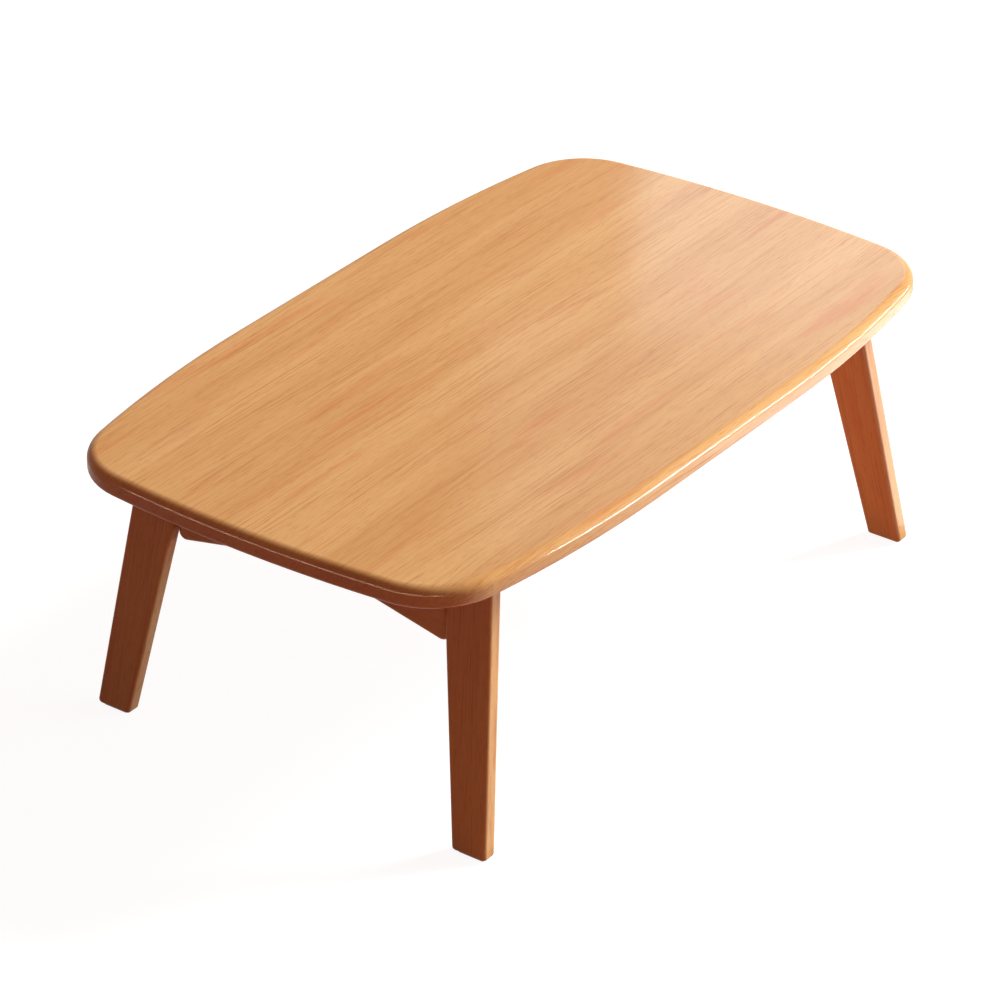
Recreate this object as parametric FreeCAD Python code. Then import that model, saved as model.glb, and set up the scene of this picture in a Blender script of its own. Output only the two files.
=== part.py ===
import FreeCAD, Part
import math
import os
from FreeCAD import Vector

# Folding floor table, set up for use. Millimetres and degrees, +Z up.
# The origin is on the floor under the middle of the top, X runs along the table.
# A rail hangs under each short end of the top, and a board leg swings on a bolt at each end of a rail.

# Whole table
table_length = 800.0
table_width = 480.0
table_height = 286.0

# Tabletop: each long side is straight in the middle and then curves in, each short side is one bow
top_thick = 21.0
long_side_straight = 218.0
long_side_radius = 1260.0
short_side_radius = 1480.0
corner_radius = 76.0
top_edge_round = 9.0
under_edge_round = 5.0

# Legs: tapered boards, with their wide faces across the table
end_inset = 51.5
side_inset = 16.85
foot_width = 37.2
leg_thick = 16.0
leg_rake = 10.5
leg_splay = 5.9
leg_taper = 3.4
leg_edge_round = 3.6
foot_corner_round = 4.2
leg_top_gap = 0.5

# Felt pad under each foot
pad_thick = 1.5
pad_margin = 0.5
pad_corner_round = 2.0

# Pivot: its axis runs along Y, below the underside of the top
pivot_drop = 20.0
cheek_width = 44.1
face_gap = 0.05
running_gap = 0.05
fit_gap = 0.02

# Pivot bolt, a shoulder screw with a hexagon socket
shoulder_diameter = 6.0
thread_diameter = 5.0
thread_length = 10.0
bolt_head_diameter = 10.0
bolt_head_height = 4.5
bolt_head_round = 0.6
bolt_head_clearance = 0.5
hex_sides = 6
hex_across_flats = 3.0
hex_depth = 2.5

# Pieces on the bolt
bush_diameter = 9.0
washer_diameter = 12.0
washer_thick = 1.4
washer_bore_clearance = 0.15
spring_thick = 0.5
spring_rise = 0.25
plug_length = 6.5
plug_gap = 1.0
insert_diameter = 9.0
insert_length = 13.0
insert_groove_count = 4
insert_groove_depth = 0.6
insert_groove_width = 1.2

# Rail: its lower edge slopes up from both ends into a flat arch
rail_thick = 22.0
rail_end_depth = 84.4
rail_slope = 12.0
rail_arch_radius = 290.0
rail_corner_round = 8.0
rail_edge_round = 4.0

# Stop block under the top, behind the top of each leg
block_length = 26.0
block_width = 34.0
block_edge_round = 1.5
stop_gap = 0.4
fold_gap = 2.0

# Steel angle brackets between rail and top
bracket_count = 3
bracket_end_inset = 58.0
bracket_width = 40.0
bracket_flange = 19.0
bracket_thick = 2.0
bracket_bend = 1.0
bracket_corner_round = 3.0
bracket_hole_spacing = 24.0

# Wood screws
screw_diameter = 3.5
screw_tip = 4.0
screw_head_diameter = 7.0
pan_head_height = 2.2
pan_head_round = 1.0
bracket_screw_length = 14.0
block_screw_grip = 9.0
block_screw_spacing = 20.0
cross_width = 0.9
cross_span = 3.6
cross_depth = 1.3

# Places that several pieces share
underside = table_height - top_thick
pivot_z = underside - pivot_drop
rake_slope = math.tan(math.radians(leg_rake))
half_board = leg_thick / 2 / math.cos(math.radians(leg_rake))
foot_outer_x = table_length / 2 - end_inset
pivot_x = foot_outer_x - rake_slope * pivot_z - half_board
outer_slope = math.tan(math.radians(leg_splay))
inner_slope = math.tan(math.radians(leg_splay + leg_taper))
foot_outer_y = table_width / 2 - side_inset
foot_inner_y = foot_outer_y - foot_width
pivot_outer_y = foot_outer_y - outer_slope * pivot_z
cheek_y = pivot_outer_y - cheek_width
rail_end_y = cheek_y - washer_thick - 2 * face_gap
spring_height = spring_thick + spring_rise
plug_y = pivot_outer_y - plug_length
head_seat_y = plug_y - plug_gap - bolt_head_height
bush_end_y = head_seat_y - spring_height - 2 * face_gap
head_bore_radius = bolt_head_diameter / 2 + bolt_head_clearance
leg_top_z = underside - leg_top_gap
leg_top_radius = leg_top_z - pivot_z
arc_end = math.radians(leg_rake) + math.asin(leg_thick / 2 / leg_top_radius)
leg_top_inner_x = pivot_x - leg_top_radius * math.sin(arc_end)
block_outer_x = leg_top_inner_x - stop_gap
block_thick = pivot_drop - leg_thick / 2 - fold_gap
block_y = cheek_y + cheek_width / 2
block_screw_length = block_thick + block_screw_grip
rail_inner_x = pivot_x - rail_thick / 2
tiny = 1e-4

DOWN = Vector(0, 0, -1)
UP = Vector(0, 0, 1)
ALONG_X = Vector(1, 0, 0)
ALONG_Y = Vector(0, 1, 0)


def arc(centre, start, end):
    """The short arc round a centre from start to end."""
    middle = (start - centre) + (end - centre)
    middle.normalize()
    through = centre + middle * (start - centre).Length
    return Part.Arc(start, through, end).toShape()


def prism(edges, reach):
    """A closed outline pushed along a vector."""
    outline = Part.Wire(Part.__sortEdges__(edges))
    return Part.Face(outline).extrude(reach)


def polygon_edges(points):
    """Straight edges through the points and back to the first."""
    following = points[1:] + points[:1]
    return [Part.makeLine(start, end) for start, end in zip(points, following)]


def turned(points):
    """A solid of revolution round Z from (radius, height) points."""
    outline = [Vector(radius, 0, height) for radius, height in points]
    face = Part.Face(Part.Wire(polygon_edges(outline)))
    return face.revolve(Vector(0, 0, 0), UP, 360)


def aimed(shape, place, direction):
    """A piece made along +Z, turned to a direction and moved to a place."""
    moved = shape.copy()
    moved.Placement = FreeCAD.Placement(place, FreeCAD.Rotation(UP, direction))
    return moved


def at_pivot(shape, y):
    """A piece made along +Z, laid along the pivot axis from the given y."""
    return aimed(shape, Vector(pivot_x, y, pivot_z), ALONG_Y)


def rounded_edges(shape, radius, wanted):
    """The shape with a fillet on each edge that the test picks."""
    return shape.makeFillet(radius, [edge for edge in shape.Edges if wanted(edge)])


def edge_middle(edge):
    return edge.valueAt((edge.FirstParameter + edge.LastParameter) / 2)


def is_upright(edge):
    return edge.BoundBox.XLength < tiny and edge.BoundBox.YLength < tiny


def flipped(point, side_x, side_y):
    return Vector(point.x * side_x, point.y * side_y, point.z)


def in_quarter(shape, side_x, side_y):
    """A piece made in the +X +Y quarter of the table, moved to another quarter by mirroring."""
    if side_x < 0:
        shape = shape.mirror(Vector(0, 0, 0), ALONG_X)
    if side_y < 0:
        shape = shape.mirror(Vector(0, 0, 0), ALONG_Y)
    return shape


# Tabletop blank
def tabletop_blank():
    long_start = Vector(long_side_straight / 2, table_width / 2, underside)
    long_centre = long_start - ALONG_Y * long_side_radius
    short_centre = Vector(table_length / 2 - short_side_radius, 0, underside)

    # The corner's centre lies inside both side arcs by the corner's radius
    long_reach = long_side_radius - corner_radius
    short_reach = short_side_radius - corner_radius
    between = short_centre - long_centre
    span = between.Length
    between.normalize()
    along = (long_reach**2 - short_reach**2 + span**2) / (2 * span)
    off = math.sqrt(long_reach**2 - along**2)
    corner_centre = long_centre + between * along + Vector(between.y, -between.x, 0) * off
    long_end = long_centre + (corner_centre - long_centre) * (long_side_radius / long_reach)
    short_end = short_centre + (corner_centre - short_centre) * (short_side_radius / short_reach)

    edges = []
    for side_x in (1, -1):
        for side_y in (1, -1):
            turn = [flipped(point, side_x, side_y) for point in (long_start, long_end, short_end)]
            edges.append(arc(flipped(long_centre, side_x, side_y), turn[0], turn[1]))
            edges.append(arc(flipped(corner_centre, side_x, side_y), turn[1], turn[2]))
        ends = [flipped(short_end, side_x, side_y) for side_y in (1, -1)]
        edges.append(arc(flipped(short_centre, side_x, 1), ends[0], ends[1]))
    for side_y in (1, -1):
        ends = [flipped(long_start, side_x, side_y) for side_x in (1, -1)]
        edges.append(Part.makeLine(ends[0], ends[1]))
    slab = prism(edges, UP * top_thick)
    slab = rounded_edges(slab, top_edge_round, lambda edge: edge.BoundBox.ZMin > table_height - tiny)
    return rounded_edges(slab, under_edge_round, lambda edge: edge.BoundBox.ZMax < underside + tiny)


# Leg blank in the +X +Y quarter: its front view and its side view cut one board
def leg_blank():
    cheek_foot_z = (foot_inner_y - cheek_y) / inner_slope
    front = [
        Vector(0, foot_outer_y - outer_slope * pad_thick, pad_thick),
        Vector(0, foot_outer_y - outer_slope * table_height, table_height),
        Vector(0, cheek_y, table_height),
        Vector(0, cheek_y, cheek_foot_z),
        Vector(0, foot_inner_y - inner_slope * pad_thick, pad_thick),
    ]
    front_view = prism(polygon_edges(front), ALONG_X * table_length)
    front_view = rounded_edges(
        front_view,
        foot_corner_round,
        lambda edge: edge.BoundBox.XLength > table_length / 2 and edge.BoundBox.ZMax < pad_thick + tiny,
    )

    axis = Vector(pivot_x, 0, pivot_z)
    foot_x = pivot_x + rake_slope * (pivot_z - pad_thick)
    top_outer_x = pivot_x - rake_slope * leg_top_radius + half_board
    foot_outer = Vector(foot_x + half_board, 0, pad_thick)
    foot_inner = Vector(foot_x - half_board, 0, pad_thick)
    top_outer = Vector(top_outer_x, 0, leg_top_z)
    top_middle = Vector(pivot_x, 0, leg_top_z)
    top_inner = Vector(leg_top_inner_x, 0, pivot_z + leg_top_radius * math.cos(arc_end))
    side = [
        Part.makeLine(foot_inner, foot_outer),
        Part.makeLine(foot_outer, top_outer),
        Part.makeLine(top_outer, top_middle),
        arc(axis, top_middle, top_inner),
        Part.makeLine(top_inner, foot_inner),
    ]
    blank = front_view.common(prism(side, ALONG_Y * table_width)).Solids[0]

    # The two wide faces get soft edges below the cheek and along the outer side
    wide_faces = sorted(blank.Faces, key=lambda face: face.Area)[-2:]
    soft = [edge for face in wide_faces for edge in face.Edges if edge_middle(edge).z < cheek_foot_z]
    return blank.makeFillet(leg_edge_round, soft)


# Pieces of one pivot, in the +X +Y quarter
def leg(blank):
    bush_hole = Part.makeCylinder(bush_diameter / 2 + fit_gap, cheek_width)
    head_hole = Part.makeCylinder(head_bore_radius, cheek_width)
    return blank.cut(at_pivot(bush_hole, cheek_y)).cut(at_pivot(head_hole, bush_end_y))


def cover_plug(blank):
    plug = Part.makeCylinder(head_bore_radius - fit_gap, cheek_width)
    return blank.common(at_pivot(plug, plug_y))


def pivot_bush():
    outer = Part.makeCylinder(bush_diameter / 2, bush_end_y - cheek_y)
    bore = Part.makeCylinder(shoulder_diameter / 2 + running_gap, bush_end_y - cheek_y)
    return at_pivot(outer.cut(bore), cheek_y)


def friction_washer():
    outer = Part.makeCylinder(washer_diameter / 2, washer_thick)
    bore = Part.makeCylinder(shoulder_diameter / 2 + washer_bore_clearance, washer_thick)
    return at_pivot(outer.cut(bore), rail_end_y + face_gap)


def disc_spring():
    inner = shoulder_diameter / 2 + washer_bore_clearance
    outer = bolt_head_diameter / 2
    cone = [(inner, spring_rise), (inner, spring_height), (outer, spring_thick), (outer, 0)]
    return at_pivot(turned(cone), bush_end_y + face_gap)


def pivot_bolt():
    shoulder_length = head_seat_y - rail_end_y
    thread = Part.makeCylinder(thread_diameter / 2, thread_length, Vector(0, 0, -thread_length))
    shoulder = Part.makeCylinder(shoulder_diameter / 2, shoulder_length)
    head = Part.makeCylinder(bolt_head_diameter / 2, bolt_head_height)
    head = rounded_edges(
        head, bolt_head_round, lambda edge: edge.BoundBox.ZMin > bolt_head_height - tiny
    )
    corner = hex_across_flats / 2 / math.cos(math.pi / hex_sides)
    turn = [2 * math.pi * step / hex_sides for step in range(hex_sides)]
    hexagon = [Vector(corner * math.cos(a), corner * math.sin(a), bolt_head_height) for a in turn]
    head = head.cut(prism(polygon_edges(hexagon), DOWN * hex_depth))
    head.translate(UP * shoulder_length)
    return at_pivot(thread.fuse(shoulder).fuse(head).removeSplitter(), rail_end_y)


def threaded_insert():
    sleeve = Part.makeCylinder(insert_diameter / 2, insert_length)
    sleeve = sleeve.cut(Part.makeCylinder(thread_diameter / 2 + fit_gap, insert_length))
    pitch = insert_length / (insert_groove_count + 1)
    for step in range(insert_groove_count):
        place = Vector(0, 0, pitch * (step + 1) - insert_groove_width / 2)
        groove = Part.makeCylinder(insert_diameter, insert_groove_width, place)
        core = insert_diameter / 2 - insert_groove_depth
        groove = groove.cut(Part.makeCylinder(core, insert_groove_width, place))
        sleeve = sleeve.cut(groove)
    return at_pivot(sleeve, rail_end_y - insert_length)


def foot_pad():
    pad_x = leg_thick - 2 * (leg_edge_round + pad_margin)
    pad_y = foot_width - 2 * (foot_corner_round + pad_margin)
    centre_x = pivot_x + rake_slope * (pivot_z - pad_thick)
    centre_y = (foot_outer_y + foot_inner_y) / 2 - (outer_slope + inner_slope) / 2 * pad_thick
    pad = Part.makeBox(pad_x, pad_y, pad_thick, Vector(centre_x - pad_x / 2, centre_y - pad_y / 2, 0))
    return rounded_edges(pad, pad_corner_round, is_upright)


# Wood screws, made along +Z with the underside or the rim of the head at the origin
def screw_shank(length, radius):
    straight = Part.makeCylinder(radius, length - screw_tip)
    return straight.fuse(Part.makeCone(radius, 0, screw_tip, Vector(0, 0, length - screw_tip)))


def cross_recess(face_z):
    recess = []
    for size_x, size_y in ((cross_span, cross_width), (cross_width, cross_span)):
        recess.append(Part.makeBox(size_x, size_y, cross_depth, Vector(-size_x / 2, -size_y / 2, face_z)))
    return recess[0].fuse(recess[1])


def pan_screw(length):
    head = Part.makeCylinder(screw_head_diameter / 2, pan_head_height, Vector(0, 0, -pan_head_height))
    head = rounded_edges(head, pan_head_round, lambda edge: edge.BoundBox.ZMax < tiny - pan_head_height)
    screw = head.fuse(screw_shank(length, screw_diameter / 2))
    return screw.cut(cross_recess(-pan_head_height)).removeSplitter()


def countersink(radius):
    depth = radius - screw_diameter / 2
    return Part.makeCone(radius, screw_diameter / 2, depth)


def flat_screw(length):
    screw = countersink(screw_head_diameter / 2).fuse(screw_shank(length, screw_diameter / 2))
    return screw.cut(cross_recess(0)).removeSplitter()


def screw_hole(length):
    return screw_shank(length + fit_gap, screw_diameter / 2 + fit_gap)


# Stop block in the +X +Y quarter, with its two countersunk screws
def block_screw_places():
    x = block_outer_x - block_length / 2
    offsets = (-block_screw_spacing / 2, block_screw_spacing / 2)
    return [Vector(x, block_y + offset, underside - block_thick) for offset in offsets]


def stop_block():
    corner = Vector(block_outer_x - block_length, block_y - block_width / 2, underside - block_thick)
    block = Part.makeBox(block_length, block_width, block_thick, corner)
    block = rounded_edges(block, block_edge_round, is_upright)
    for place in block_screw_places():
        block = block.cut(aimed(screw_hole(block_screw_length), place, UP))
        block = block.cut(aimed(countersink(screw_head_diameter / 2 + fit_gap), place, UP))
    return block


def stop_block_screws():
    return [aimed(flat_screw(block_screw_length), place, UP) for place in block_screw_places()]


# Brackets of the +X rail: one flange on the rail's inner face, one on the underside of the top
def bracket_places():
    outer = rail_end_y - bracket_end_inset
    pitch = 2 * outer / (bracket_count - 1)
    return [pitch * step - outer for step in range(bracket_count)]


def bracket_screw_seats(bracket_y):
    """Where each screw enters its flange, and which way it is driven."""
    seats = []
    middle = (bracket_flange + bracket_thick + bracket_bend) / 2
    for offset in (-bracket_hole_spacing / 2, bracket_hole_spacing / 2):
        y = bracket_y + offset
        seats.append((Vector(rail_inner_x - bracket_thick, y, underside - middle), ALONG_X))
        seats.append((Vector(rail_inner_x - middle, y, underside - bracket_thick), UP))
    return seats


def bracket(bracket_y):
    low_y = bracket_y - bracket_width / 2
    corner_x = rail_inner_x - bracket_flange
    corner_z = underside - bracket_flange
    angle = Part.makeBox(bracket_flange, bracket_width, bracket_flange, Vector(corner_x, low_y, corner_z))
    hollow_size = bracket_flange - bracket_thick
    hollow = Part.makeBox(hollow_size, bracket_width, hollow_size, Vector(corner_x, low_y, corner_z))
    angle = angle.cut(hollow)
    angle = rounded_edges(
        angle,
        bracket_corner_round,
        lambda edge: edge.Length < bracket_thick + tiny
        and (edge.BoundBox.XMax < corner_x + tiny or edge.BoundBox.ZMax < corner_z + tiny),
    )
    bend_x = rail_inner_x - bracket_thick
    angle = rounded_edges(
        angle,
        bracket_bend,
        lambda edge: edge.BoundBox.YLength > bracket_width - tiny
        and abs(edge_middle(edge).x - bend_x) < tiny
        and abs(edge_middle(edge).z - (underside - bracket_thick)) < tiny,
    )
    for place, direction in bracket_screw_seats(bracket_y):
        hole = Part.makeCylinder(screw_diameter / 2 + fit_gap, bracket_thick)
        angle = angle.cut(aimed(hole, place, direction))
    return angle


def bracket_screws():
    seats = [seat for y in bracket_places() for seat in bracket_screw_seats(y)]
    return [aimed(pan_screw(bracket_screw_length), place, direction) for place, direction in seats]


# Rail under the +X end
def rail():
    slope = math.radians(rail_slope)
    end_z = underside - rail_end_depth
    arch_half = rail_arch_radius * math.sin(slope)
    arch_z = end_z + math.tan(slope) * (rail_end_y - arch_half)
    arch_centre = Vector(0, 0, arch_z - rail_arch_radius * math.cos(slope))
    corners = [Vector(0, rail_end_y, end_z), Vector(0, rail_end_y, underside)]
    edges = []
    for side_y in (1, -1):
        low, high = [flipped(point, 1, side_y) for point in corners]
        edges.append(Part.makeLine(Vector(0, side_y * arch_half, arch_z), low))
        edges.append(Part.makeLine(low, high))
    edges.append(Part.makeLine(corners[1], flipped(corners[1], 1, -1)))
    edges.append(arc(arch_centre, Vector(0, -arch_half, arch_z), Vector(0, arch_half, arch_z)))
    board = prism(edges, ALONG_X * rail_thick)
    board.translate(ALONG_X * rail_inner_x)
    board = rounded_edges(
        board,
        rail_corner_round,
        lambda edge: edge.BoundBox.XLength > rail_thick - tiny and edge.BoundBox.ZMax < end_z + tiny,
    )

    board = rounded_edges(
        board,
        rail_edge_round,
        lambda edge: edge.BoundBox.XLength < tiny and edge.BoundBox.ZMin < underside - tiny,
    )

    for side_y in (1, -1):
        hole = Part.makeCylinder(insert_diameter / 2 + fit_gap, insert_length)
        board = board.cut(in_quarter(at_pivot(hole, rail_end_y - insert_length), 1, side_y))
    for y in bracket_places():
        for place, direction in bracket_screw_seats(y):
            board = board.cut(aimed(screw_hole(bracket_screw_length), place, direction))
    return board


def tabletop():
    holes = []
    for side_x in (1, -1):
        for y in bracket_places():
            for place, direction in bracket_screw_seats(y):
                hole = aimed(screw_hole(bracket_screw_length), place, direction)
                holes.append(in_quarter(hole, side_x, 1))
        for side_y in (1, -1):
            for place in block_screw_places():
                hole = aimed(screw_hole(block_screw_length), place, UP)
                holes.append(in_quarter(hole, side_x, side_y))
    return tabletop_blank().cut(Part.makeCompound(holes))


ENDS = (("left", -1), ("right", 1))
SIDES = (("front", -1), ("back", 1))

blank = leg_blank()
quarter_pieces = {
    "leg": leg(blank),
    "cover_plug": cover_plug(blank),
    "pivot_bush": pivot_bush(),
    "pivot_bolt": pivot_bolt(),
    "friction_washer": friction_washer(),
    "disc_spring": disc_spring(),
    "threaded_insert": threaded_insert(),
    "foot_pad": foot_pad(),
    "stop_block": stop_block(),
}

nodes = {"tabletop": tabletop()}
for end, side_x in ENDS:
    nodes[f"rail_{end}"] = in_quarter(rail(), side_x, 1)
    for number, y in enumerate(bracket_places(), 1):
        nodes[f"bracket_{end}_{number}"] = in_quarter(bracket(y), side_x, 1)
    nodes[f"bracket_screws_{end}"] = in_quarter(Part.makeCompound(bracket_screws()), side_x, 1)
    block_screws = []
    for side, side_y in SIDES:
        for name, piece in quarter_pieces.items():
            nodes[f"{name}_{side}_{end}"] = in_quarter(piece, side_x, side_y)
        block_screws += [in_quarter(screw, side_x, side_y) for screw in stop_block_screws()]
    nodes[f"stop_block_screws_{end}"] = Part.makeCompound(block_screws)

os.makedirs("parts", exist_ok=True)
for name, shape in nodes.items():
    shape.exportStep(f"parts/{name}.step")
    print(name, "solids", len(shape.Solids), "valid", shape.isValid(), "volume", round(shape.Volume, 1))
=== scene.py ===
import math

import bmesh
import bpy
from mathutils import Matrix, Quaternion, Vector

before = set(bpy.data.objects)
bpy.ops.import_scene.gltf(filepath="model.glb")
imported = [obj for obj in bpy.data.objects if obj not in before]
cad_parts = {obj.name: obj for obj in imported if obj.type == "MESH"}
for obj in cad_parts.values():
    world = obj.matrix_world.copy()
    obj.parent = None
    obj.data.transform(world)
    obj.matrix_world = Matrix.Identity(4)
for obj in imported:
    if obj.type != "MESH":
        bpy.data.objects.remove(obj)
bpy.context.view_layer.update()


# Tabletop: one wide beech board, its corners rounded and its rim turned over with a router.
# It is sanded, stained a warm honey colour and sprayed with satin lacquer.
MM_PER_METRE = 1000  # a pattern's sizes are written in mm, and the frame is in metres


def linear(hex_colour):
    """A colour written as sRGB hex, as the linear values that a shader takes."""
    parts = [int(hex_colour[i:i + 2], 16) / 255 for i in (1, 3, 5)]
    return [p / 12.92 if p <= 0.04045 else ((p + 0.055) / 1.055) ** 2.4 for p in parts] + [1.0]


def add(tree, kind, inputs, **settings):
    """A new node, with its settings made and each input linked or given its value."""
    node = tree.nodes.new(kind)
    for name, value in settings.items():
        setattr(node, name, value)
    for name, value in inputs.items():
        if isinstance(value, bpy.types.NodeSocket):
            tree.links.new(value, node.inputs[name])
        else:
            node.inputs[name].default_value = value
    return node


def surface(name):
    """A new material, with its node tree and the shader that stands for its skin."""
    material = bpy.data.materials.new(name)
    material.use_nodes = True
    return material, material.node_tree, material.node_tree.nodes["Principled BSDF"]


def apply_finish(material, *names):
    """Gives CAD pieces their material."""
    for name in names:
        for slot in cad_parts[name].material_slots:
            slot.material = material


def lacquered_beech(name, along, across, start):
    """Beech, planed, stained and sprayed with satin lacquer. The eye sees long soft bands of honey,
    reddish patches, fine straight fibres and dark lines in clusters, under a film that shines
    softly on flat faces and sharply on rounded edges. The grain runs along one direction of the
    piece and its lines are spaced across another; start, in mm, is where the board was cut."""
    honey, pale, red, russet, umber = (
        linear(c) for c in ("#CB9259", "#D49E66", "#C8743F", "#C07C40", "#A65722"))
    material, tree, skin = surface(name)
    along, across = Vector(along).normalized(), Vector(across)
    across = (across - across.dot(along) * along).normalized()
    turn = Matrix((along, across, along.cross(across))).to_euler()
    place = add(tree, "ShaderNodeTexCoord", {})
    board = add(tree, "ShaderNodeMapping", {
        "Vector": place.outputs["Object"], "Scale": (MM_PER_METRE,) * 3,
        "Rotation": turn, "Location": start})

    # The fibres wander a few millimetres to and fro over a hand's length.
    wander_mm, swing_mm = (300, 90, 90), (0.0, 14.0, 14.0)
    noise_middle = (0.5, 0.5, 0.5)
    stretched = add(tree, "ShaderNodeMapping", {
        "Vector": board.outputs[0], "Scale": [1 / s for s in wander_mm]})
    wander = add(tree, "ShaderNodeTexNoise", {
        "Vector": stretched.outputs[0], "Scale": 1.0, "Detail": 1.0})
    shift = add(tree, "ShaderNodeVectorMath", {
        0: wander.outputs["Color"], 1: noise_middle}, operation="SUBTRACT")
    swing = add(tree, "ShaderNodeVectorMath", {
        0: shift.outputs[0], 1: swing_mm, 2: board.outputs[0]}, operation="MULTIPLY_ADD")

    # Length, width and depth in mm of each kind of mark, and how much smaller detail it holds.
    # Real fibres and pores are finer than the picture can show, so these are drawn coarser.
    marks = {}
    for mark, size_mm, detail in (
        ("bands", (800, 42, 80), 2.0),
        ("patches", (170, 17, 50), 2.0),
        ("streaks", (230, 3.0, 14), 3.0),
        ("fibres", (110, 1.5, 7), 2.0),
        ("clusters", (150, 14, 40), 1.0),
        ("lines", (90, 1.2, 5), 1.0),
        ("pores", (15, 0.9, 1.8), 1.0),
    ):
        scaled = add(tree, "ShaderNodeMapping", {
            "Vector": swing.outputs[0], "Scale": [1 / s for s in size_mm]})
        marks[mark] = add(tree, "ShaderNodeTexNoise", {
            "Vector": scaled.outputs[0], "Scale": 1.0, "Detail": detail}).outputs["Fac"]

    # The dark lines keep to the clusters, which raise them over the point where they begin.
    cluster_pull = 0.6
    marks["lines"] = add(tree, "ShaderNodeMath", {
        0: marks["clusters"], 1: cluster_pull, 2: marks["lines"]},
        operation="MULTIPLY_ADD").outputs[0]

    # Cut across, the fibres drink more stain and look darker.
    facing = add(tree, "ShaderNodeVectorMath", {
        0: place.outputs["Normal"], 1: along}, operation="DOT_PRODUCT")
    marks["end grain"] = add(tree, "ShaderNodeMath", {
        0: facing.outputs["Value"]}, operation="ABSOLUTE").outputs[0]

    # How each mark colours the wood: where it begins, where it is full, how much it then covers.
    # Inputs 6 and 7 and output 2 of a Mix node are the ones for colours.
    colour = honey
    for mark, begins, full, cover, tint in (
        ("bands", 0.34, 0.66, 1.0, pale),
        ("patches", 0.54, 0.78, 0.50, red),
        ("streaks", 0.50, 0.76, 0.26, russet),
        ("streaks", 0.48, 0.24, 0.32, pale),
        ("fibres", 0.50, 0.74, 0.24, umber),
        ("lines", 0.87, 1.05, 0.30, umber),
        ("pores", 0.54, 0.74, 0.31, umber),
        ("end grain", 0.45, 1.0, 0.35, umber),
    ):
        share = add(tree, "ShaderNodeMapRange", {
            "Value": marks[mark], "From Min": begins, "From Max": full, "To Max": cover},
            interpolation_type="SMOOTHSTEP")
        colour = add(tree, "ShaderNodeMix", {
            0: share.outputs[0], 6: colour, 7: tint}, data_type="RGBA").outputs[2]
    tree.links.new(colour, skin.inputs["Base Color"])

    # The lacquer: a satin film with a thin smoother coat, which the fibres show through as relief.
    satin = add(tree, "ShaderNodeMapRange", {
        "Value": marks["streaks"], "From Min": 0.3, "From Max": 0.7,
        "To Min": 0.36, "To Max": 0.46})
    tree.links.new(satin.outputs[0], skin.inputs["Roughness"])
    skin.inputs["Specular IOR Level"].default_value = 0.03
    skin.inputs["Coat Weight"].default_value = 0.2
    skin.inputs["Coat Roughness"].default_value = 0.13
    relief = add(tree, "ShaderNodeBump", {
        "Height": marks["fibres"], "Strength": 0.25, "Distance": 0.2 / MM_PER_METRE})
    tree.links.new(relief.outputs[0], skin.inputs["Normal"])
    return material


apply_finish(
    lacquered_beech("tabletop beech, stained and lacquered",
                    along=(1, 0, 0), across=(0, 1, 0.8), start=(0, 0, 0)),
    "tabletop")


# End rails: a shaped beech board stands on edge under each short end of the top.
# Its lower edge is band-sawn into an arch and all its edges are rounded over.
ENDS = {"left": -1, "right": 1}
for end, sx in ENDS.items():
    apply_finish(
        lacquered_beech(f"rail beech {end}, stained and lacquered",
                        along=(0, 1, 0), across=(0, 0, 1), start=(400 + 900 * sx, 130, 60)),
        f"rail_{end}")


# Stop blocks: small beech blocks screwed to the underside, which each leg's top bears on when open.
# They are cut from the same boards and finished with the rest.
SIDES = {"front": -1, "back": 1}
for end, sx in ENDS.items():
    for side, sy in SIDES.items():
        apply_finish(
            lacquered_beech(f"block beech {side} {end}, stained and lacquered",
                            along=(0, 1, 0), across=(1, 0, 0), start=(2000 * sx, 300 * sy, 700)),
            f"stop_block_{side}_{end}")


# Legs: tapered beech boards, cut with the grain along the leg, that swing on the rails' ends.
# The cover plugs are turned from the same wood and glued flush over the bolts' heads.
LEG_RAKE = math.radians(10.5)
LEG_SPLAY = math.radians(5.9)
for end, sx in ENDS.items():
    for side, sy in SIDES.items():
        apply_finish(
            lacquered_beech(f"leg beech {side} {end}, stained and lacquered",
                            along=(sx * math.tan(LEG_RAKE), sy * math.tan(LEG_SPLAY), -1),
                            across=(0, 1, 0),
                            start=(1500 + 700 * sx, 260 + 170 * sy, 90 * sx * sy)),
            f"leg_{side}_{end}", f"cover_plug_{side}_{end}")


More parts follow.
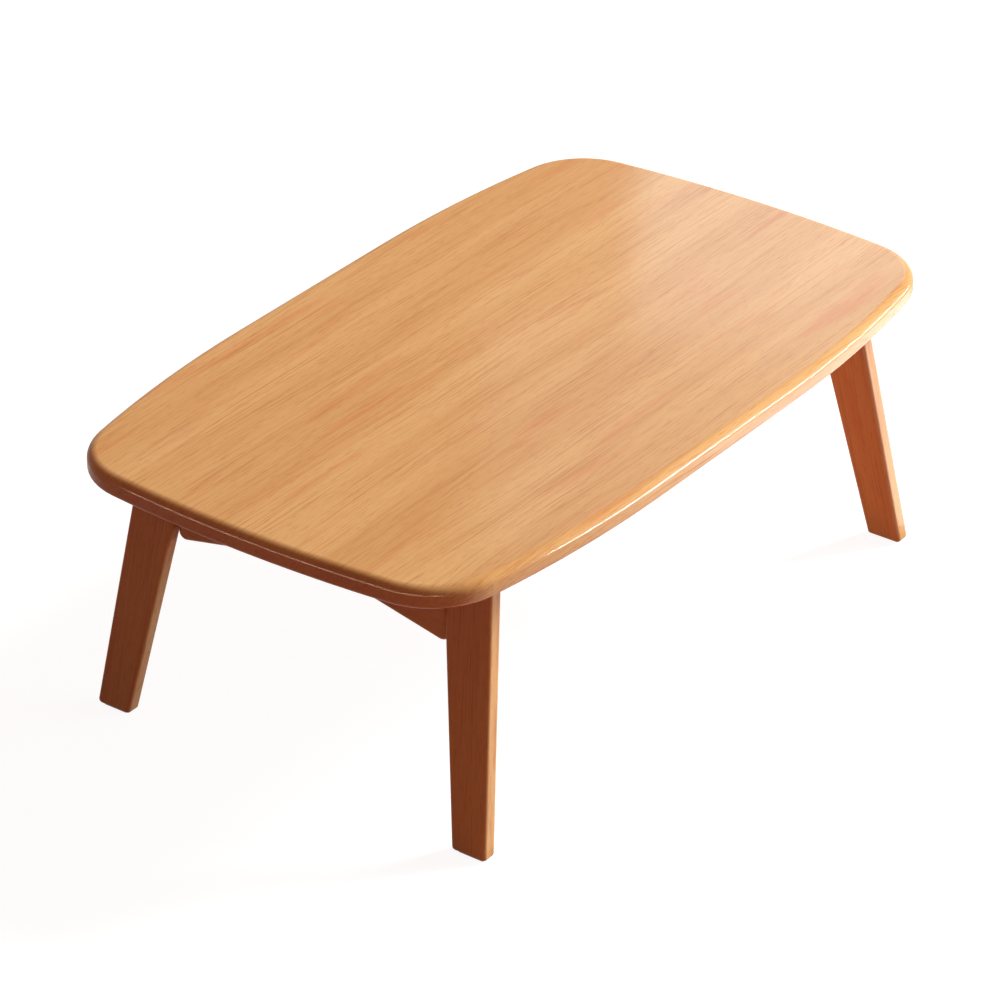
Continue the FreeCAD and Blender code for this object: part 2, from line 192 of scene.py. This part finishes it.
# Brackets, bolts, screws, springs and inserts: pressed and turned steel, and brass. Three brackets
# are screwed to each rail and to the top; the bolts turn into the inserts in the rails' ends, and
# a disc spring under each bolt's head holds its leg at any angle.
def fitting_metal(name, bright, warm, mottle_mm, roughness):
    """Metal of a small fitting: a soft shine, a faint patchy tint and fine scuffs."""
    material, tree, skin = surface(name)
    scuff_mm = 0.12 * mottle_mm
    place = add(tree, "ShaderNodeTexCoord", {})
    mottle = add(tree, "ShaderNodeTexNoise", {
        "Vector": place.outputs["Object"], "Scale": MM_PER_METRE / mottle_mm, "Detail": 3.0})
    scuffs = add(tree, "ShaderNodeTexNoise", {
        "Vector": place.outputs["Object"], "Scale": MM_PER_METRE / scuff_mm, "Detail": 2.0})
    colour = add(tree, "ShaderNodeMix", {
        0: mottle.outputs["Fac"], 6: linear(bright), 7: linear(warm)}, data_type="RGBA")
    rough = add(tree, "ShaderNodeMapRange", {
        "Value": scuffs.outputs["Fac"], "From Min": 0.3, "From Max": 0.7,
        "To Min": roughness - 0.06, "To Max": roughness + 0.08})
    relief = add(tree, "ShaderNodeBump", {
        "Height": scuffs.outputs["Fac"], "Strength": 0.15, "Distance": 0.1 / MM_PER_METRE})
    tree.links.new(colour.outputs[2], skin.inputs["Base Color"])
    tree.links.new(rough.outputs[0], skin.inputs["Roughness"])
    tree.links.new(relief.outputs[0], skin.inputs["Normal"])
    skin.inputs["Metallic"].default_value = 1.0
    return material


# Rolled and pressed: pale grey, with a wide soft glint along its flanges.
bracket_steel = fitting_metal("rolled steel, zinc plated", "#C9CCCE", "#B9B4A6", 9.0, 0.34)
# Cold-headed and yellow passivated: a faint straw tint, and a small glint on each head.
screw_steel = fitting_metal("cold-headed screw steel, zinc plated", "#CFCDC4", "#B7AE93", 3.0, 0.30)
# Turned on a lathe: brighter and smoother than the pressed steel.
bolt_steel = fitting_metal("turned bolt steel, zinc plated", "#C6C8CB", "#ADADA8", 4.0, 0.26)
# Phosphated: dark grey and dull.
spring_steel = fitting_metal("spring steel, phosphated", "#75757A", "#5B5752", 3.0, 0.45)
# Turned and left bare: a warm yellow with sharp glints.
insert_brass = fitting_metal("turned brass", "#D2AC5E", "#B98E42", 4.0, 0.28)
for end in ENDS:
    for number in (1, 2, 3):
        apply_finish(bracket_steel, f"bracket_{end}_{number}")
    apply_finish(screw_steel, f"bracket_screws_{end}", f"stop_block_screws_{end}")
    for side in SIDES:
        apply_finish(bolt_steel, f"pivot_bolt_{side}_{end}")
        apply_finish(spring_steel, f"disc_spring_{side}_{end}")
        apply_finish(insert_brass, f"threaded_insert_{side}_{end}")


# Bushes, friction washers and foot pads: moulded nylon, pressed fibre and die-cut felt. A bush
# lines the hole in each leg, a washer parts the leg from the rail, and the felt is glued under
# the foot.
def matted(name, light, dark, clump_mm, roughness, depth_mm, fuzz):
    """A dull material with a fine random mottle: moulded nylon, pressed fibre or wool felt."""
    material, tree, skin = surface(name)
    place = add(tree, "ShaderNodeTexCoord", {})
    clumps = add(tree, "ShaderNodeTexNoise", {
        "Vector": place.outputs["Object"], "Scale": MM_PER_METRE / clump_mm, "Detail": 4.0,
        "Distortion": 0.6})
    lightness = add(tree, "ShaderNodeMapRange", {
        "Value": clumps.outputs["Fac"], "From Min": 0.3, "From Max": 0.7})
    colour = add(tree, "ShaderNodeMix", {
        0: lightness.outputs[0], 6: linear(dark), 7: linear(light)}, data_type="RGBA")
    relief = add(tree, "ShaderNodeBump", {
        "Height": clumps.outputs["Fac"], "Strength": 0.6, "Distance": depth_mm / MM_PER_METRE})
    tree.links.new(colour.outputs[2], skin.inputs["Base Color"])
    tree.links.new(relief.outputs[0], skin.inputs["Normal"])
    skin.inputs["Roughness"].default_value = roughness
    skin.inputs["Sheen Weight"].default_value = fuzz
    return material


# Moulded and left in its own colour: milky and a little waxy.
nylon = matted("natural nylon, moulded", "#E6E0D0", "#D8D0BC", 2.5, 0.42, 0.05, 0.0)
# Pressed from paper: nearly black, with no shine.
fibre = matted("vulcanised fibre, pressed", "#2C2A28", "#191716", 1.2, 0.7, 0.1, 0.0)
# Pressed from wool: dark brown, with a soft fuzz at its edges.
felt = matted("wool felt, pressed", "#4A3A2E", "#2A2019", 0.9, 0.95, 0.3, 0.3)
for end in ENDS:
    for side in SIDES:
        apply_finish(nylon, f"pivot_bush_{side}_{end}")
        apply_finish(fibre, f"friction_washer_{side}_{end}")
        apply_finish(felt, f"foot_pad_{side}_{end}")


# Floor: a wide sheet of white paper. It shows white to the camera and in reflections and keeps a
# faint shadow; the light that it throws up onto the wood is the brown of the wood's own.
FLOOR_SIZE = 24.0  # metres
FLOOR_GLOW = 0.92  # the white that the paper keeps in a shadow
LIT_GREY = (0.22, 0.22, 0.22, 1)  # what the lamps light on top of it, linear


def seen_as_white(tree):
    """1 for the rays that should find white: the camera's, and those in gloss and glass."""
    path = add(tree, "ShaderNodeLightPath", {})
    seen = path.outputs["Is Camera Ray"]
    for ray in ("Is Glossy Ray", "Is Transmission Ray"):
        seen = add(tree, "ShaderNodeMath", {
            0: seen, 1: path.outputs[ray]}, operation="MAXIMUM").outputs[0]
    return seen


form = bmesh.new()
bmesh.ops.create_grid(form, x_segments=1, y_segments=1, size=FLOOR_SIZE / 2)
floor_mesh = bpy.data.meshes.new("floor")
form.to_mesh(floor_mesh)
form.free()
floor = bpy.data.objects.new("floor", floor_mesh)
bpy.context.scene.collection.objects.link(floor)

paper, tree = surface("white paper")[:2]
tree.nodes.clear()
dull = add(tree, "ShaderNodeBsdfDiffuse", {"Color": linear("#A0583A")})
glow = add(tree, "ShaderNodeEmission", {"Color": linear("#FFFFFF"), "Strength": FLOOR_GLOW})
faint = add(tree, "ShaderNodeBsdfDiffuse", {"Color": LIT_GREY})
shown = add(tree, "ShaderNodeAddShader", {0: glow.outputs[0], 1: faint.outputs[0]})
sheet = add(tree, "ShaderNodeMixShader", {
    0: seen_as_white(tree), 1: dull.outputs[0], 2: shown.outputs[0]})
add(tree, "ShaderNodeOutputMaterial", {"Surface": sheet.outputs[0]})
floor_mesh.materials.append(paper)


# Room: a dim warm light from all round, as in a room with wooden walls. The camera and the
# reflections see a plain white backdrop in its place.
world = bpy.data.worlds.new("studio")
world.use_nodes = True
bpy.context.scene.world = world
tree = world.node_tree
tree.nodes.clear()
room = add(tree, "ShaderNodeBackground", {"Color": linear("#FFB870"), "Strength": 0.24})
white = add(tree, "ShaderNodeBackground", {"Color": linear("#FFFFFF"), "Strength": 1.0})
backdrop = add(tree, "ShaderNodeMixShader", {
    0: seen_as_white(tree), 1: room.outputs[0], 2: white.outputs[0]})
add(tree, "ShaderNodeOutputWorld", {"Surface": backdrop.outputs[0]})


# Lights: a wide low key softbox on the right, a window-like one above it and a little bounce from
# the floor light the wood. The others only shine in its lacquer: strips close to the rims on the
# right and left, two softboxes behind the far end, and two on the floor at the right.
TABLE_MIDDLE = (0.0, 0.0, 0.25)
STRIP_LEVEL = 0.2765  # below the top face, which would mirror a strip that stood above it
FLOOR_LEVEL = 0.012
# A row has the lamp's name, its place, the point that it faces, its width and height, all in
# metres, its watts, its tint, and whether it lights the wood or only shines in the lacquer.
for name, place, aim, width, height, watts, tint, lights_wood in (
    ("key softbox", (5.03, -4.69, 1.58), TABLE_MIDDLE, 5.6, 1.8, 470.0, "#CAEAFF", True),
    ("window softbox", (6.3, -3.3, 5.4), TABLE_MIDDLE, 3.2, 2.7, 1240.0, "#F2FEFF", True),
    ("bounce softbox", (0.0, -0.1, 0.015), (0.345, -0.2, 0.03), 0.3, 0.3, 0.52, "#FFBE7C", True),
    ("rim strip", (0.37, -0.36, STRIP_LEVEL), (0.37, -0.22, STRIP_LEVEL),
     1.1, 0.015, 7.5, "#FFFFFF", False),
    ("sheen softbox", (1.915, 0.745, 1.06), (0.3, -0.05, 0.28),
     0.72, 0.52, 8.4, "#D4F0FF", False),
    ("near floor softbox", (0.0, -0.47, FLOOR_LEVEL), (0.0, -0.47, 1.0),
     0.7, 0.5, 2.0, "#FFFFFF", False),
    ("far floor softbox", (0.66, -0.48, FLOOR_LEVEL), (0.66, -0.48, 1.0),
     0.62, 0.5, 6.6, "#FFFFFF", False),
    ("left strip", (-0.48, -0.08, STRIP_LEVEL), (-0.39, -0.08, STRIP_LEVEL),
     0.6, 0.014, 0.6, "#FFE6CE", False),
    ("side sheen softbox", (1.68, 0.97, 1.48), (-0.08, -0.2, 0.286),
     0.52, 0.36, 1.5, "#E0F6FF", False),
):
    lamp = bpy.data.lights.new(name, "AREA")
    lamp.shape = "RECTANGLE"
    lamp.size, lamp.size_y, lamp.energy = width, height, watts
    lamp.color = linear(tint)[:3]
    softbox = bpy.data.objects.new(name, lamp)
    softbox.location = place
    softbox.rotation_euler = (Vector(aim) - Vector(place)).to_track_quat("-Z", "Y").to_euler()
    softbox.visible_camera = False
    softbox.visible_diffuse = lights_wood
    softbox.visible_glossy = not lights_wood
    bpy.context.scene.collection.objects.link(softbox)


# Camera: a long lens, looking down on the near left corner from the photograph's angle.
# Its angles, lens and distance were fitted to the outline of the top and the legs' edges.
AZIMUTH, ELEVATION, ROLL = (math.radians(a) for a in (-53.545, 30.19, -0.17))
LOOKS_AT = Vector((-0.1076, -0.0633, 0.2032))
DISTANCE = 4.302
SENSOR_MM, LENS_MM = 36.0, 170.69
back = Vector((math.sin(AZIMUTH) * math.cos(ELEVATION),
               -math.cos(AZIMUTH) * math.cos(ELEVATION),
               math.sin(ELEVATION)))
lens = bpy.data.cameras.new("camera")
lens.sensor_width, lens.lens = SENSOR_MM, LENS_MM
camera = bpy.data.objects.new("camera", lens)
camera.location = LOOKS_AT + back * DISTANCE
level = (-back).to_track_quat("-Z", "Y")
camera.rotation_euler = (level @ Quaternion((0, 0, 1), ROLL)).to_euler()
bpy.context.scene.collection.objects.link(camera)
bpy.context.scene.camera = camera
bpy.context.scene.view_settings.view_transform = "Standard"
